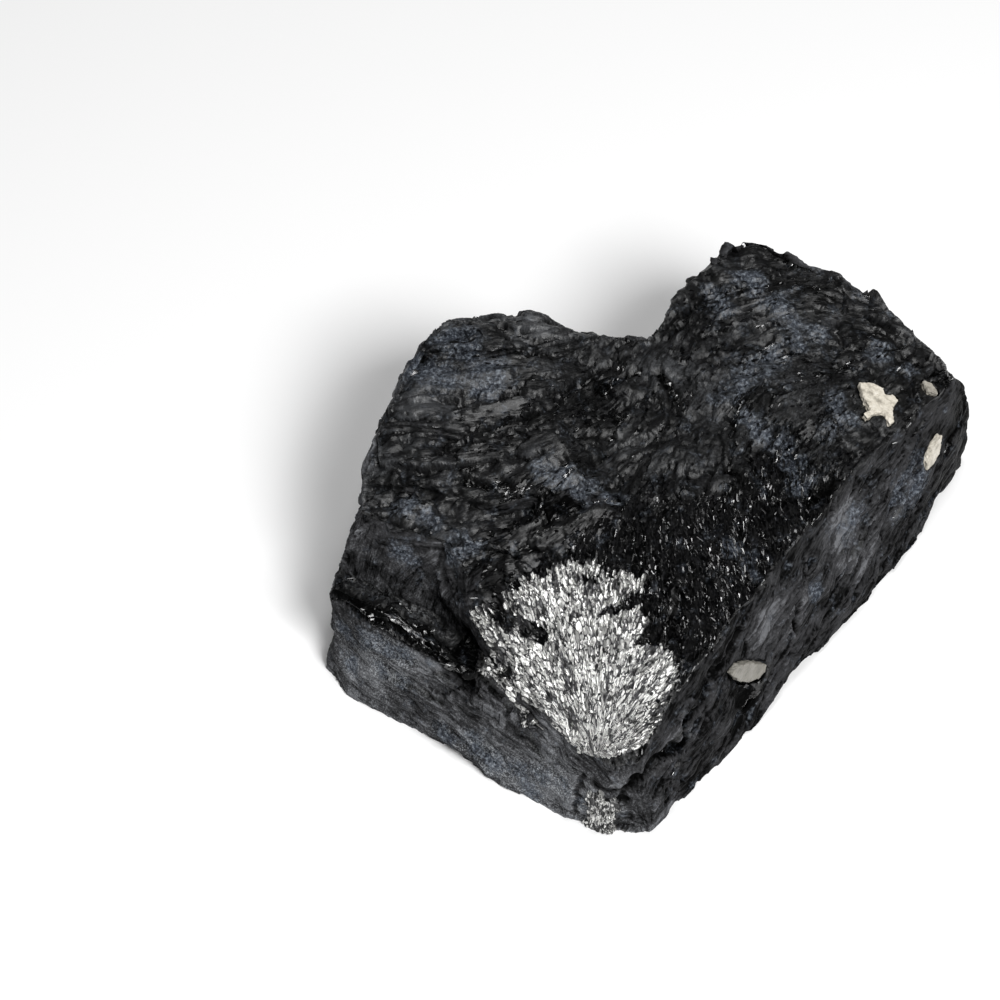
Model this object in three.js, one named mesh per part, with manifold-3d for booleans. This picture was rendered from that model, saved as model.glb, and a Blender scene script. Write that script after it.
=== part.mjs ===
// Black tourmaline (schorl) cluster: one broken block of intergrown, bladed crystals, with four pale
// feldspar chips set in its skin. Millimetres, +Z up. The block lies on its flat broken base.
//
// The block is drawn in its own plan frame first: the front corner of its base at the origin, the long
// right-hand wall along +X and the short left-hand wall along +Y. At the end the whole group is moved so
// that the middle of its base is the origin.
import * as THREE from "three";
import { ConvexGeometry } from "three/addons/geometries/ConvexGeometry.js";
import { ImprovedNoise } from "three/addons/math/ImprovedNoise.js";
import { MeshSurfaceSampler } from "three/addons/math/MeshSurfaceSampler.js";
import { TessellateModifier } from "three/addons/modifiers/TessellateModifier.js";
import { mergeVertices } from "three/addons/utils/BufferGeometryUtils.js";
import Module from "manifold-3d";

const wasm = await Module();
wasm.setup();

// ---- driving dimensions ----------------------------------------------------------------------------
const RAW_HEIGHT = 52; // the rough block before its top is broken down
const BASE_DEPTH = 2; // rough rock below the flat break at z = 0 that the block rests on
const GRAIN = 14; // longest edge of the broken skin's facets
const SWELL = 1.3; // how far the skin wanders over SWELL_LENGTH
const SWELL_LENGTH = 18;
const ROUGH = 0.35; // and over ROUGH_LENGTH
const ROUGH_LENGTH = 8;
const CRYSTALS = 190; // blades that make the skin
const CHIP_SUNK = 1.1; // feldspar chips: depth in the skin, and height over it
const CHIP_PROUD = 0.5;
const CHIP_CLEAR = 8; // no crystal starts this close to the middle of a chip
const CLEARANCE = 0.3; // gap round a chip
const SEED = 20;

// The base outline, from the left corner round the front corner, the right corner and the back notch.
const OUTLINE = [
  [-6, 77], [-8, 68], [-6, 43], [-7, 22], [-4, 6], [2, -2], [17, -3], [27, -4], [29, -6.5], [33, -5],
  [52, -5], [71, -4], [89, -4], [105, -4], [117, -2.5], [124, -1], [123.5, 8], [120, 24], [118, 43],
  [118.5, 52], [115, 58.5], [97, 57.5], [80, 54.5], [76, 66], [70, 81], [66, 89], [57, 93.5], [44, 93],
  [30, 88.5], [14, 81.5],
];

// ---- solids ----------------------------------------------------------------------------------------
function solidFrom(geometry) {
  const bare = geometry.clone();
  for (const name of Object.keys(bare.attributes)) {
    if (name !== "position") bare.deleteAttribute(name);
  }
  const merged = mergeVertices(bare, 1e-4);
  return new wasm.Manifold(
    new wasm.Mesh({
      numProp: 3,
      vertProperties: merged.attributes.position.array,
      triVerts: new Uint32Array(merged.index.array),
    }),
  );
}

function geometryFrom(solid) {
  const { vertProperties, triVerts, numProp, numVert } = solid.getMesh();
  const positions = new Float32Array(numVert * 3);
  for (let i = 0; i < numVert; i++) {
    positions.set(vertProperties.subarray(i * numProp, i * numProp + 3), i * 3);
  }
  return new THREE.BufferGeometry()
    .setAttribute("position", new THREE.BufferAttribute(positions, 3))
    .setIndex(new THREE.BufferAttribute(new Uint32Array(triVerts), 1));
}

// A numbered stream of pseudo-random values between 0 and 1 (mulberry32).
function randomStream(seed) {
  let state = seed;
  return () => {
    state = (state + 0x6d2b79f5) | 0;
    let t = Math.imul(state ^ (state >>> 15), 1 | state);
    t = (t + Math.imul(t ^ (t >>> 7), 61 | t)) ^ t;
    return ((t ^ (t >>> 14)) >>> 0) / 4294967296;
  };
}

// Everything on one side of the plane through three points: a big box with one face on that plane, on the
// side that faces along `away`.
function beyond(p, q, r, away) {
  const size = 400;
  const a = new THREE.Vector3(...p);
  const normal = new THREE.Plane().setFromCoplanarPoints(
    a, new THREE.Vector3(...q), new THREE.Vector3(...r),
  ).normal;
  if (normal.dot(new THREE.Vector3(...away)) < 0) normal.negate();
  const box = new THREE.BoxGeometry(size, size, size).translate(0, 0, size / 2);
  box.applyQuaternion(new THREE.Quaternion().setFromUnitVectors(new THREE.Vector3(0, 0, 1), normal));
  box.translate(a.x, a.y, a.z);
  return solidFrom(box);
}

const UP = [0, 0, 1];

// A step down in a top face, `drop` deep at the line from rim to corner and running out at foot.
function shingle(rim, corner, foot, drop) {
  const moved = ([x, y, z], lift) => [x, y, z + lift];
  const towards = (from, to) => [to[0] - from[0], to[1] - from[1], 0];
  return beyond(moved(rim, -drop), moved(corner, -drop), foot, UP)
    .intersect(beyond(rim, corner, moved(rim, 10), towards(corner, foot)))
    .intersect(beyond(corner, foot, moved(corner, 10), towards(corner, rim)));
}

// ---- the broken block ------------------------------------------------------------------------------
// Each fracture face is a plane through three points of it.
function brokenBlock() {
  const outline = new THREE.Shape(OUTLINE.map(([x, y]) => new THREE.Vector2(x, y)));
  const raw = new THREE.ExtrudeGeometry(outline, {
    depth: RAW_HEIGHT + BASE_DEPTH, bevelEnabled: false,
  }).translate(0, 0, -BASE_DEPTH);

  const fractures = {
    rightTop: beyond([80, 58, 45.3], [116, 58, 43.4], [64, 14, 43.3], UP),
    leftTop: beyond([34, 49, 43], [60, 85, 47], [10, 75, 40], UP),
    rightCornerTop: beyond([117, 5, 36.6], [120, 25, 41.6], [79, 2, 38.3], UP),
    middleSlope: beyond([49, 21, 43.5], [64, 14, 43.2], [41, -3, 35], UP),
    leftSlope: beyond([9, 46, 34.5], [-7.5, 23.5, 20], [-1, 1, 22], UP)
      .intersect(beyond([-8, 53, 0], [12, 48, 0], [-8, 53, 10], [0, -1, 0])),
    leftWall: beyond([14.5, 80.5, 43], [30.5, 86.5, 43], [2, 78, 15], [0, 1, 0]),
    longWall: beyond([0, -3.5, 0], [105, -5, 0], [62, 1.5, 38], [0, -1, 0]),
    shortWall: beyond([-8, 68, 0], [-7, 22, 0], [-3.5, 60, 25], [-1, 0, 0]),
    rightCornerWall: beyond([124, -2, 17], [115, -0.5, 37], [119.5, 22, 40], [1, -0.5, 0.5]),
    backEdgeTop: beyond([68, 79, 46.5], [60, 88.5, 45], [70, 86, 42], [1, 1, 1])
      .intersect(beyond([80, 0, 0], [80, 1, 0], [80, 0, 1], [-1, 0, 0])),
  };

  // The lustrous slope: it is let into the block, so behind it stands a steeper riser.
  const lustrousSlope = beyond([-1, 0, 24.5], [18, -1, 30.5], [20, 35, 38], UP)
    .intersect(beyond([28, 41, 42.5], [39.5, 34, 43.5], [20, 33, 37.5], [-1, -1, 0.6]));

  // The trough under the left top: a floor, and the ragged step up to the left top's terraces.
  const trough = beyond([22, 56, 39], [34, 48, 39.8], [4, 50, 36.5], UP)
    .intersect(beyond([8, 74, 40], [23, 57, 43], [20, 58, 30], [-1, -1, 0]))
    .intersect(beyond([28, 43, 40], [42, 33, 40], [30, 45, 50], [-1, 1, 0]));

  // The ledge along the short wall: its floor dips behind the lip, and falls away towards the front corner.
  const ledge = beyond([-4, 73, 25.5], [-3.5, 45, 25.2], [6, 60, 21.5], UP)
    .add(beyond([-3.5, 45, 25.2], [-7, 19, 17], [5, 42, 21.5], UP))
    .intersect(beyond([5, 76, 25], [8, 56, 25], [8, 77, 38], [-1, 0, 0]))
    .intersect(beyond([8, 56, 25], [-7, 19, 17], [10, 56, 38], [-1, 0, 0]));

  // The valley that runs in from the notch between the two tops.
  const valley = beyond([52, 67, 45.2], [46, 50, 43.6], [61, 54, 42], UP)
    .intersect(beyond([61, 54, 42], [80, 45, 43.9], [66, 40, 43.4], UP));

  // The left top lies in shingles: each steps down towards the short wall.
  const shingles = [
    shingle([46, 89, 45.1], [66, 66, 46.1], [38, 68, 43.8], 1.6),
    shingle([26, 87, 42.3], [37, 68, 43.6], [15, 70, 40.6], 1.8),
    shingle([14, 78, 40.6], [25, 54, 41.9], [9, 60, 39.6], 1.8),
  ];

  let block = solidFrom(raw);
  for (const solid of [...Object.values(fractures), lustrousSlope, trough, ledge, valley, ...shingles]) {
    block = block.subtract(solid);
  }
  return block;
}

// ---- the skin --------------------------------------------------------------------------------------
// Moves each point by a smooth field, which bends the flat fractures and never folds them.
const perlin = new ImprovedNoise();
function wander(point, length, amount, offset) {
  const at = point.clone().divideScalar(length);
  return new THREE.Vector3(
    perlin.noise(at.x + offset, at.y, at.z),
    perlin.noise(at.x, at.y + offset + 31.7, at.z),
    perlin.noise(at.x, at.y, at.z + offset + 67.3),
  ).multiplyScalar(2 * amount);
}

function weathered(block) {
  const split = new TessellateModifier(GRAIN, 12).modify(geometryFrom(block).toNonIndexed());
  const position = split.attributes.position;
  const point = new THREE.Vector3();
  for (let i = 0; i < position.count; i++) {
    point.fromBufferAttribute(position, i);
    const moved = point.clone()
      .add(wander(point, SWELL_LENGTH, SWELL, 3.1))
      .add(wander(point, ROUGH_LENGTH, ROUGH, 9.4));
    position.setXYZ(i, moved.x, moved.y, moved.z);
  }
  return solidFrom(split);
}

// ---- the feldspar chips ----------------------------------------------------------------------------
// Where each chip sits, the way it faces, and its outline in its own plane.
const CHIPS = [
  {
    name: "feldspar_leaf_chip", at: [95.3, 8, 38], facing: [0.1, -0.26, 0.96],
    outline: [
      [1.6, 6], [3.4, 4], [4.4, 1.5], [3.1, 0.3], [4.6, -1], [4, -2.7], [1.6, -2.7], [-1.6, -5],
      [-2.6, -4.6], [-1.4, -2.2], [-2.4, -0.9], [-5.3, -0.4], [-4.8, 0.8], [-2.7, 0.4], [-1.6, 2.3],
      [-0.2, 4.5],
    ],
  },
  {
    name: "feldspar_sliver", at: [103.7, -1.5, 22.5], facing: [0, -1, 0.15],
    outline: [[3.4, 3], [2.4, -0.9], [0, -2.4], [-2.9, -2.4], [-2.6, 0.4], [-0.2, 2.4]],
  },
  {
    name: "feldspar_corner_chip", at: [107.8, 2.8, 35.4], facing: [0.1, -0.26, 0.96],
    outline: [[0.4, 2.2], [1.3, 0.4], [0.2, -2.2], [-1.3, -0.2]],
  },
  {
    name: "feldspar_side_chip", at: [36.4, -1.5, 16.4], facing: [0, -1, 0.15],
    outline: [
      [-6, 5.2], [-3.4, 5.6], [1.2, 2], [5.6, -2.9], [4.8, -4.4], [2.6, -4.2], [-0.7, -2.2], [-3.9, 1],
    ],
  },
];

// ---- crystals --------------------------------------------------------------------------------------
// The way the crystals run over the block, and how long and wide they are: the nearest guides count most.
const GUIDES = [
  { at: [30, 75, 44], along: [0.65, -0.75, 0], size: [19, 5] }, // left top: across, towards the middle
  { at: [50, 80, 46], along: [0.6, -0.8, 0], size: [18, 5] },
  { at: [50, 50, 44], along: [0.95, -0.2, 0], size: [16, 5] }, // middle of the top
  { at: [75, 45, 45], along: [0.95, 0.25, 0], size: [17, 5] },
  { at: [95, 30, 43], along: [0.9, -0.5, 0], size: [15, 5] }, // right top
  { at: [108, 50, 43], along: [0.8, -0.6, 0], size: [15, 5] },
  { at: [24, 26, 38], along: [0.8, 0.6, 0.4], size: [17, 3.6] }, // lustrous slope: a fan from the corner
  { at: [6, 36, 32], along: [0.3, 0.95, 0.4], size: [17, 3.6] },
  { at: [18, 6, 30], along: [1, 0.1, 0.3], size: [16, 3.6] },
  { at: [45, 5, 38], along: [0.6, 0.7, 0.5], size: [14, 3.6] }, // slope over the long wall
  { at: [30, -4, 15], along: [1, 0, 0.25], size: [30, 5] }, // long wall: along it, rising to the right
  { at: [70, -4, 20], along: [1, 0, 0.3], size: [32, 5] },
  { at: [110, -3, 18], along: [1, 0, 0.45], size: [26, 5] },
  { at: [-6, 60, 12], along: [0, 1, 0.05], size: [22, 5] }, // short wall
  { at: [-6, 25, 10], along: [0, 1, 0.2], size: [22, 5] },
  { at: [4, 66, 32], along: [0.2, 0, 1], size: [10, 3.4] }, // riser over the ledge
  { at: [20, 86, 20], along: [1, 0.3, 0.3], size: [24, 6.5] }, // left wall
  { at: [50, 92, 20], along: [1, 0, 0.6], size: [24, 6.5] },
  { at: [76, 70, 22], along: [0, 0.3, 1], size: [22, 6] }, // notch walls
  { at: [98, 59, 22], along: [0.5, 0, 1], size: [22, 6] },
  { at: [121, 35, 20], along: [0, 1, 0.5], size: [24, 6.5] }, // right wall
];

// The run and size of a crystal that sits at a point.
function growthAt(point) {
  const run = new THREE.Vector3();
  let length = 0;
  let width = 0;
  let total = 0;
  for (const { at, along, size } of GUIDES) {
    const weight = 1 / (point.distanceToSquared(new THREE.Vector3(...at)) + 20) ** 2;
    const direction = new THREE.Vector3(...along).normalize();
    run.addScaledVector(direction, (run.dot(direction) < 0 ? -1 : 1) * weight);
    length += weight * size[0];
    width += weight * size[1];
    total += weight;
  }
  return { run: run.normalize(), length: length / total, width: width / total };
}

// One crystal, its length along X and its outside along Z: a blade like a hipped roof, sunk to its eaves.
function crystal(length, width, rise, random) {
  const corners = [];
  const ridge = 0.5 * width * (random() - 0.5);
  const ridgeWidth = width * (0.1 + 0.25 * random());
  for (const end of [-1, 1]) {
    const tip = (end * length) / 2;
    const rake = 0.7 + 0.22 * random();
    const skew = 0.4 * width * (random() - 0.5);
    const height = rise * (0.6 + 0.4 * random());
    corners.push(new THREE.Vector3(tip - skew, -width / 2, -1.6));
    corners.push(new THREE.Vector3(tip + skew, width / 2, -1.6));
    corners.push(new THREE.Vector3(tip * rake, ridge + (end * ridgeWidth) / 2, height));
  }
  return new ConvexGeometry(corners);
}

// Lays crystals on the skin, each along the run of its place and level with the skin under both its tips.
function crystalsOn(body) {
  const random = randomStream(SEED);
  const skin = new THREE.Mesh(geometryFrom(body).toNonIndexed(), new THREE.MeshBasicMaterial());
  skin.geometry.computeVertexNormals();
  const sampler = new MeshSurfaceSampler(skin).setRandomGenerator(random).build();
  const ray = new THREE.Raycaster();
  const reach = 2.5; // how far off the tangent plane the skin under a tip may lie
  const skinUnder = (point, outward) => {
    ray.set(point.clone().addScaledVector(outward, reach), outward.clone().negate());
    const [hit] = ray.intersectObject(skin);
    return hit && hit.distance < 2 * reach && hit.face.normal.dot(outward) > 0.7 ? hit.point : null;
  };
  const crystals = [];
  const placed = [];
  const point = new THREE.Vector3();
  const normal = new THREE.Vector3();
  for (let tries = 0; tries < 12 * CRYSTALS && crystals.length < CRYSTALS; tries++) {
    sampler.sample(point, normal);
    const outward = normal.clone().normalize();
    const { run, length, width } = growthAt(point);
    if (point.z < 3 || outward.z < -0.6) continue;
    if (CHIPS.some(({ at }) => point.distanceTo(new THREE.Vector3(...at)) < CHIP_CLEAR)) continue;
    run.addScaledVector(outward, -run.dot(outward)).normalize();
    const across = new THREE.Vector3().crossVectors(outward, run);
    const crowded = placed.some((other) => {
      const apart = other.clone().sub(point);
      return Math.hypot(apart.dot(run) / length, apart.dot(across) / width, apart.dot(outward) / 4) < 0.66;
    });
    if (crowded) continue;
    const half = length * (0.35 + 0.3 * random());
    const tail = skinUnder(point.clone().addScaledVector(run, -half), outward);
    const head = skinUnder(point.clone().addScaledVector(run, half), outward);
    if (!tail || !head) continue;
    placed.push(point.clone());
    const along = head.clone().sub(tail).normalize();
    const side = new THREE.Vector3().crossVectors(outward, along).normalize();
    const up = new THREE.Vector3().crossVectors(along, side);
    const frame = new THREE.Matrix4().makeBasis(along, side, up);
    const lean = new THREE.Matrix4().makeRotationFromEuler(
      new THREE.Euler(0.3 * (random() - 0.5), 0.05 * (random() - 0.5), 0.16 * (random() - 0.5)),
    );
    const middle = head.add(tail).multiplyScalar(0.5);
    const blade = crystal(2 * half, width * (1 + 0.6 * random()), 0.5 + 0.9 * random(), random);
    blade.applyMatrix4(frame.multiply(lean)).translate(middle.x, middle.y, middle.z);
    crystals.push(solidFrom(blade));
  }
  return crystals;
}

// ---- the feldspar chips' plates and pockets ----------------------------------------------------------
// A plate with the outline, from one height to another in its own frame.
function plate(outline, bottom, top) {
  const shape = new THREE.Shape(outline.map(([x, y]) => new THREE.Vector2(x, y)));
  const block = new THREE.ExtrudeGeometry(shape, { depth: top - bottom, bevelEnabled: false });
  return block.translate(0, 0, bottom);
}

// The outline with every side moved outwards by the same distance.
function grown(outline, distance) {
  const points = outline.map(([x, y]) => new THREE.Vector2(x, y));
  if (THREE.ShapeUtils.isClockWise(points)) points.reverse();
  const outward = (from, to) => new THREE.Vector2(to.y - from.y, from.x - to.x).normalize();
  return points.map((point, i) => {
    const before = outward(points.at(i - 1), point);
    const after = outward(point, points[(i + 1) % points.length]);
    const scale = distance / Math.max(1 + before.dot(after), 0.5);
    return before.add(after).multiplyScalar(scale).add(point).toArray();
  });
}

// The frame of a chip: on the skin under its place, with its own Z the way it faces.
function seatOn(skin, { at, facing }) {
  const outward = new THREE.Vector3(...facing).normalize();
  const start = new THREE.Vector3(...at).addScaledVector(outward, 8);
  const [hit] = new THREE.Raycaster(start, outward.clone().negate()).intersectObject(skin);
  const sideways = new THREE.Vector3(1, 0, 0).projectOnPlane(outward).normalize();
  const upwards = new THREE.Vector3().crossVectors(outward, sideways);
  return new THREE.Matrix4().makeBasis(sideways, upwards, outward).setPosition(hit.point);
}

// ---- the whole cluster -----------------------------------------------------------------------------
const blackTourmaline = new THREE.MeshStandardMaterial({ color: 0x17181b, roughness: 0.38, metalness: 0 });
const paleFeldspar = new THREE.MeshStandardMaterial({ color: 0xd8d4bd, roughness: 0.6, metalness: 0 });

const cluster = new THREE.Group();
let tourmaline = weathered(brokenBlock());
for (const blade of crystalsOn(tourmaline)) tourmaline = tourmaline.add(blade);

const skin = new THREE.Mesh(geometryFrom(tourmaline), blackTourmaline);
for (const chip of CHIPS) {
  const seat = seatOn(skin, chip);
  const pocket = plate(grown(chip.outline, CLEARANCE), -CHIP_SUNK - CLEARANCE, 6).applyMatrix4(seat);
  tourmaline = tourmaline.subtract(solidFrom(pocket));
  const mesh = new THREE.Mesh(plate(chip.outline, -CHIP_SUNK, CHIP_PROUD), paleFeldspar.clone());
  mesh.name = chip.name;
  mesh.applyMatrix4(seat);
  cluster.add(mesh);
}

// The block rests on a flat break. Gaps sealed in between its crystals are solid too: only the outer
// surface is kept.
const larger = (one, other) => (other.volume() > one.volume() ? other : one);
tourmaline = tourmaline.subtract(beyond([0, 0, 0], [1, 0, 0], [0, 1, 0], [0, 0, -1]));
tourmaline = tourmaline.decompose().reduce(larger);
const mass = new THREE.Mesh(geometryFrom(tourmaline), blackTourmaline);
mass.name = "tourmaline_mass";
cluster.add(mass);

const bounds = new THREE.Box3().setFromObject(cluster);
const middle = bounds.getCenter(new THREE.Vector3());
cluster.position.set(-middle.x, -middle.y, -bounds.min.z);

export default cluster;
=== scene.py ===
# Black tourmaline (schorl) cluster with a lustrous sheaf of crystals and pale feldspar chips.
# Metres, +Z up. The cluster's CAD solids are the frame; the pieces here stand in their places.
import math

import bmesh
import bpy
import numpy as np
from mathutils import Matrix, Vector, kdtree, noise


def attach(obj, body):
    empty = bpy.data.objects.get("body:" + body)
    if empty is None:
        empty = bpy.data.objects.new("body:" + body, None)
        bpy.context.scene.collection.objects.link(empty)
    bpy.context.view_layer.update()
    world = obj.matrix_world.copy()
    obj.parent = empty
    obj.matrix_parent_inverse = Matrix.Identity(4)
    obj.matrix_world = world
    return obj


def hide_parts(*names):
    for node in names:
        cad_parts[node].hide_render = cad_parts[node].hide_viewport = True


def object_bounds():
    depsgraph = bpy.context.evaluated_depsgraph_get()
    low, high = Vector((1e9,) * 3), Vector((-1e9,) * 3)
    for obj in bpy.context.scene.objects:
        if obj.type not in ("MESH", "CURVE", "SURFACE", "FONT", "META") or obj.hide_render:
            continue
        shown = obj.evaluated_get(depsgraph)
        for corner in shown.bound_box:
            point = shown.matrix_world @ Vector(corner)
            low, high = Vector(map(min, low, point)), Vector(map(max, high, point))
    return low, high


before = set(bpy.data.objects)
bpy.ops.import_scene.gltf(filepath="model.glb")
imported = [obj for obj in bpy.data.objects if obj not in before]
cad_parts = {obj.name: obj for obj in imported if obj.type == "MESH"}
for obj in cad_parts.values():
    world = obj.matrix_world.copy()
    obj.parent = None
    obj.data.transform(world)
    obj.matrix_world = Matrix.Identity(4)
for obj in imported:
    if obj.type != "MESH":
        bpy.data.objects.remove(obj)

rng = np.random.default_rng(7)

# The front corner of the base, in mm. All places below are in mm from it: +X along the long wall, +Y along
# the short one, as in the CAD source.
CORNER = np.array([-58.232, -44.564, 0.0])


def plain(box):
    """The box as lists of plain numbers, as json writes them."""
    return [[float(v) for v in corner] for corner in box]


def measured(metres):
    """Places in the scene, in metres, as mm from the front corner."""
    return np.asarray(metres, float).reshape(-1, 3) * 1000 - CORNER


def placed(mm):
    """The other way round: mm from the front corner as metres in the scene."""
    return (mm + CORNER) / 1000


cad_box = plain(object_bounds())
MARGIN = 0.02  # mm: the pieces stay this far inside the solids' outer box
LOW, HIGH = measured(cad_box) + [[MARGIN], [-MARGIN]]

# ---- camera, floor and light -------------------------------------------------------------------------
scene = bpy.context.scene
AZIMUTH, ELEVATION, DISTANCE = math.radians(-53), math.radians(50), 0.6720
TARGET = Vector((-0.00483, 0.03024, 0.0))

towards_camera = Vector(
    (
        math.sin(AZIMUTH) * math.cos(ELEVATION),
        -math.cos(AZIMUTH) * math.cos(ELEVATION),
        math.sin(ELEVATION),
    )
)
bpy.ops.object.camera_add(location=TARGET + towards_camera * DISTANCE)
camera = bpy.context.object
camera.rotation_euler = towards_camera.to_track_quat("Z", "Y").to_euler()
camera.data.lens = 110
camera.data.sensor_width = 36
scene.camera = camera

bpy.ops.mesh.primitive_plane_add(size=6)
floor = bpy.context.object
floor.name = "floor"


def softbox(name, at, aim, size, power):
    bpy.ops.object.light_add(type="AREA", location=at)
    light = bpy.context.object
    light.name = name
    light.data.shape = "RECTANGLE"
    light.data.size, light.data.size_y = size
    light.data.energy = power
    light.rotation_euler = (Vector(at) - Vector(aim)).to_track_quat("Z", "Y").to_euler()


softbox("overhead", (0.02, -0.03, 0.9), (0, 0, 0), (0.3, 0.3), 2.8)
softbox("front_key", (-0.36, -0.79, 0.95), (0, 0, 0.02), (0.45, 0.45), 17)

world = bpy.data.worlds.new("studio")
scene.world = world
world.use_nodes = True
world.node_tree.nodes["Background"].inputs["Color"].default_value = (1, 1, 1, 1)
world.node_tree.nodes["Background"].inputs["Strength"].default_value = 0.12
scene.view_settings.view_transform = "Standard"


# ---- materials ---------------------------------------------------------------------------------------
FACTOR, UNDER, OVER, MIXED = 0, 6, 7, 2  # the inputs and the output of a Mix node that mixes colours


def srgb(text):
    """A linear colour from its sRGB hex value."""
    values = [int(text[i : i + 2], 16) / 255 for i in (1, 3, 5)]
    return (*(v / 12.92 if v <= 0.04045 else ((v + 0.055) / 1.055) ** 2.4 for v in values), 1)


def feed(node, inputs):
    """Sets a node's inputs, by name or in order: to values, or to links from other nodes' outputs."""
    for name, value in inputs.items() if isinstance(inputs, dict) else enumerate(inputs):
        if isinstance(value, bpy.types.NodeSocket):
            node.id_data.links.new(value, node.inputs[name])
        else:
            node.inputs[name].default_value = value


def add(material, kind, inputs=(), output=0, stops=(), **settings):
    """A new node with its settings, a colour ramp's stops and its inputs. Gives one of its outputs."""
    node = material.node_tree.nodes.new("ShaderNode" + kind)
    for name, value in settings.items():
        setattr(node, name, value)
    if stops:
        elements = node.color_ramp.elements
        while len(elements) < len(stops):
            elements.new(0.5)
        for element, (position, colour) in zip(elements, stops):
            element.position = position
            element.color = srgb(colour)
    feed(node, inputs)
    return node.outputs[output]


def new_material(name):
    material = bpy.data.materials.new(name)
    material.use_nodes = True
    return material, material.node_tree.nodes["Principled BSDF"]


def black_patterns(m):
    """What the black finishes share: place, grain, striations of 0.3 by 3 mm, and crumbs of 0.7 mm."""
    place = add(m, "TexCoord", output="Object")
    grain = add(m, "Attribute", output="Vector", attribute_name="grain")
    fibres = add(m, "VectorMath", (grain, (350, 3300, 40)), operation="MULTIPLY")
    striations = add(m, "TexNoise", {"Vector": fibres, "Scale": 1, "Detail": 4, "Roughness": 0.6})
    crumbs = add(m, "TexNoise", {"Vector": place, "Scale": 1400, "Detail": 4, "Roughness": 0.7})
    return place, grain, striations, crumbs


def bloomed(m, colour, place, crumbs):
    """The colour under a blue-grey veil, broken into patches of 4 mm and powdery inside them."""
    patches = add(m, "TexNoise", {"Vector": place, "Scale": 260, "Detail": 6, "Roughness": 0.7})
    torn = add(m, "MapRange", (patches, 0.3, 0.7, -0.8, 0.8))
    spots = add(m, "Attribute", output="Fac", attribute_name="bloom")
    ragged = add(m, "Math", (spots, torn), operation="ADD")
    thick = add(m, "Math", (ragged, crumbs), operation="MULTIPLY")
    veil = add(m, "MapRange", (thick, 0.12, 0.6, 0, 0.75))
    powder = add(m, "ValToRGB", (crumbs,), stops=[(0.35, "#22252a"), (0.5, "#3c414a"), (0.66, "#80878f")])
    return add(m, "Mix", {FACTOR: veil, UNDER: colour, OVER: powder}, MIXED, data_type="RGBA")


def cell_leans(m, vector):
    """A random lean for each cell of a Voronoi pattern, up to 0.5 each way."""
    cells = add(m, "TexVoronoi", {"Vector": vector, "Scale": 1}, "Color")
    return add(m, "VectorMath", (cells, (0.5, 0.5, 0.5)), operation="SUBTRACT")


def splinter_leans(m, vector, roll, wobble):
    """Leans of small cells: each rolls about the grain to one side or the other, and wobbles."""
    cell = cell_leans(m, vector)
    way = add(m, "MapRange", (add(m, "SeparateXYZ", (cell,), "X"), -0.04, 0.04, -1, 1))
    much = add(m, "MapRange", (add(m, "SeparateXYZ", (cell,), "Y"), -0.5, 0.5, 0.5, 1))
    lean = add(m, "Math", (way, roll), operation="MULTIPLY")
    lean = add(m, "Math", (lean, much), operation="MULTIPLY")
    side = add(m, "Attribute", output="Vector", attribute_name="side")
    rolled = add(m, "VectorMath", {0: side, "Scale": lean}, operation="SCALE")
    loose = add(m, "VectorMath", {0: cell, "Scale": wobble}, operation="SCALE")
    return add(m, "VectorMath", (rolled, loose), operation="ADD")


def broken(m, leans, heights, strength, depth):
    """The normals of a splintery surface: they lean, then take bump from the heights."""
    facing = add(m, "NewGeometry", output="Normal")
    leaning = add(m, "VectorMath", (facing, leans), operation="ADD")
    leaning = add(m, "VectorMath", (leaning,), operation="NORMALIZE")
    return add(m, "Bump", {"Height": heights, "Strength": strength, "Distance": depth, "Normal": leaning})


def glassy_schorl():
    """Black tourmaline, cleanly broken: glassy black splinters, the few that face the light bright."""
    m, shader = new_material("black_tourmaline")
    place, grain, striations, crumbs = black_patterns(m)
    tone, relief_shading = (add(m, "Attribute", output="Fac", attribute_name=field) for field in ("tone", "relief_shading"))
    # painted light and shade: lighter where the skin stands out, darker in its hollows
    level = add(m, "Math", (tone, relief_shading), operation="ADD")
    level = add(m, "Math", (level, crumbs), operation="MULTIPLY")
    black = add(m, "ValToRGB", (level,), stops=[(0.1, "#020202"), (0.3, "#080809"), (0.5, "#1c1c1e")])
    # splinters 0.4 mm wide and 1.7 mm long
    splinters = add(m, "VectorMath", (grain, (600, 2500, 60)), operation="MULTIPLY")
    finish = {
        "Base Color": bloomed(m, black, place, crumbs),
        "Roughness": add(m, "MapRange", (crumbs, 0.3, 0.7, 0.13, 0.28)),
        "IOR": 1.64,
        "Normal": broken(m, splinter_leans(m, splinters, 1.5, 0.35), striations, 0.3, 0.0002),
    }
    feed(shader, finish)
    return m


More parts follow.
